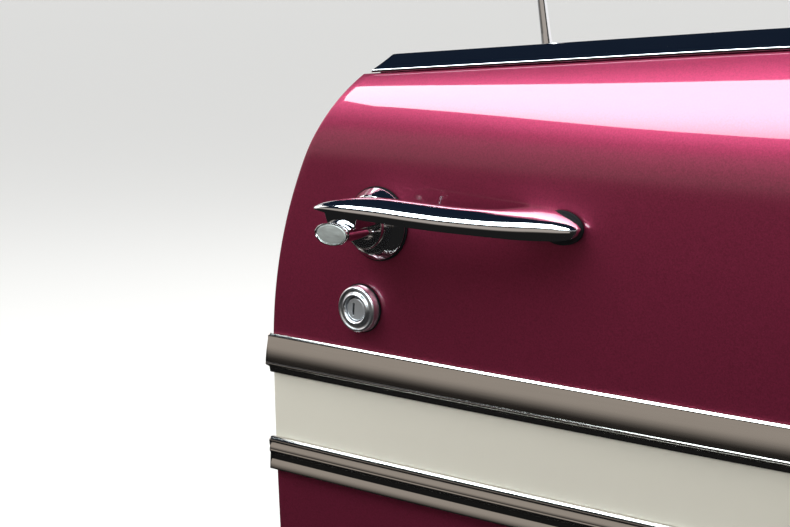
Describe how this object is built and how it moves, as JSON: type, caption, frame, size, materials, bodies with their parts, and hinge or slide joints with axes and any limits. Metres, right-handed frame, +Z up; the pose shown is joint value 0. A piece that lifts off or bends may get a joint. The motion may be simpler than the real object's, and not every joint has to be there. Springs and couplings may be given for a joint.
{
  "type": "front door of a 1950s convertible car",
  "caption": "Right-hand convertible door: painted skin, side mouldings, push-button handle, lock, vent window, lowered glass, trimmed inside and two pillar hinges.",
  "frame": {"origin": "centre of the upper hinge's pillar pad, on the face that bolts to the pillar", "axes": "+X to the car's front, out of the pad face; +Y inboard; +Z up, along the hinge pins"},
  "size_m": [1.1675, 0.2349, 0.98],
  "materials": {
    "paint_plum": "plum metallic paint, clear gloss",
    "paint_plum_inner": "plum paint, gloss",
    "stainless": "polished stainless strip",
    "chrome": "bright plate",
    "brushed_button": "satin",
    "glass": "clear, faint green",
    "rubber": "matt black",
    "dark_trim_paint": "near-black gloss enamel",
    "ivory_vinyl": "ivory vinyl, light grain",
    "dark_vinyl": "plum vinyl, light grain",
    "carpet": "short loop carpet",
    "zinc_steel": "plated steel",
    "knob_plastic": "ivory plastic"
  },
  "bodies": {
    "pillar_leaves": {"upper_hinge_pillar_leaf": "zinc_steel", "lower_hinge_pillar_leaf": "zinc_steel", "upper_hinge_pin": "zinc_steel", "lower_hinge_pin": "zinc_steel"},
    "door": {"outer_skin": "paint_plum", "inner_panel": "paint_plum_inner", "belt_moulding": "chrome", "outer_glass_sweep": "rubber", "upper_side_moulding": "stainless", "lower_side_moulding": "stainless", "door_handle": "chrome", "push_button": "brushed_button", "handle_rear_gasket": "rubber", "handle_front_gasket": "rubber", "lock_bezel": "chrome", "lock_plug": "brushed_button", "lock_gasket": "rubber", "door_glass": "glass", "inner_glass_sweep": "rubber", "garnish_moulding": "dark_trim_paint", "lock_knob_ferrule": "chrome", "lock_knob": "chrome", "vent_frame": "chrome", "vent_seal": "rubber", "vent_wing_frame": "chrome", "vent_glass": "glass", "vent_latch": "chrome", "latch_case": "zinc_steel", "latch_rotor": "zinc_steel", "dovetail_wedge": "zinc_steel", "door_weatherstrip": "rubber", "trim_panel": "ivory_vinyl", "trim_upper_band": "dark_vinyl", "trim_kick_carpet": "carpet", "trim_strip_upper": "stainless", "trim_strip_lower": "stainless", "armrest_pad": "dark_vinyl", "armrest_base": "chrome", "window_crank": "chrome", "crank_knob": "knob_plastic", "inside_handle": "chrome", "upper_hinge_door_leaf": "zinc_steel", "lower_hinge_door_leaf": "zinc_steel"}
  },
  "joints": [
    {"name": "door_swing", "type": "hinge", "parent": "pillar_leaves", "child": "door", "pos_m": [-0.058, -0.042, 0], "axis": [0, 0, 1], "range_deg": [0, 65]}
  ]
}
